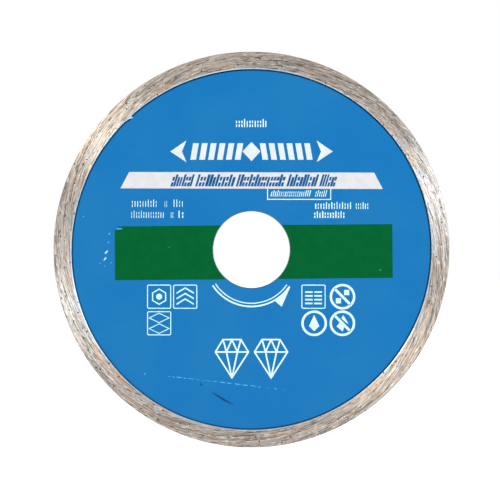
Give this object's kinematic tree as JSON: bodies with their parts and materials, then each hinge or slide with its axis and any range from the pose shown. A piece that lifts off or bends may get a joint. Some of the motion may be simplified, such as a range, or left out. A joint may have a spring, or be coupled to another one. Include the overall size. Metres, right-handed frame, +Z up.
{
  "type": "diamond blade",
  "caption": "Thin steel disc blade with a round spindle bore, a continuous sintered diamond rim for cutting tiles, and printed lacquer on its faces.",
  "frame": {"origin": "centre of the spindle bore, midway through the blade's thickness", "axes": "Y is the spin axis; the printed front face looks to -Y and the plain back face to +Y; +Z is up as the print reads, and +X is to the print's right"},
  "size_m": [0.115, 0.002, 0.115],
  "materials": {
    "core_steel": "rolled and ground tool steel, bare only at the bore and the coat's edges",
    "rim_matrix": "sintered bronze and nickel matrix with diamond grit, dressed with fine streaks along the rim",
    "blue_lacquer": "semi-gloss blue lacquer with small chips and scratches",
    "green_ink": "semi-gloss green printing ink",
    "white_ink": "semi-gloss white printing ink"
  },
  "bodies": {
    "root": {"steel_core": "core_steel", "diamond_rim": "rim_matrix", "front_lacquer": "blue_lacquer", "back_lacquer": "blue_lacquer", "green_band_left": "green_ink", "green_band_right": "green_ink", "title_banner": "white_ink", "rotation_arrow": "white_ink", "rotation_arrow_line": "white_ink", "square_mark_left_outer": "white_ink", "square_mark_left_inner": "white_ink", "square_mark_left_lower": "white_ink", "square_mark_right": "white_ink", "ring_mark_upper": "white_ink", "ring_mark_lower_inner": "white_ink", "ring_mark_lower_outer": "white_ink", "gem_mark_left": "white_ink", "gem_mark_right": "white_ink"}
  },
  "joints": []
}
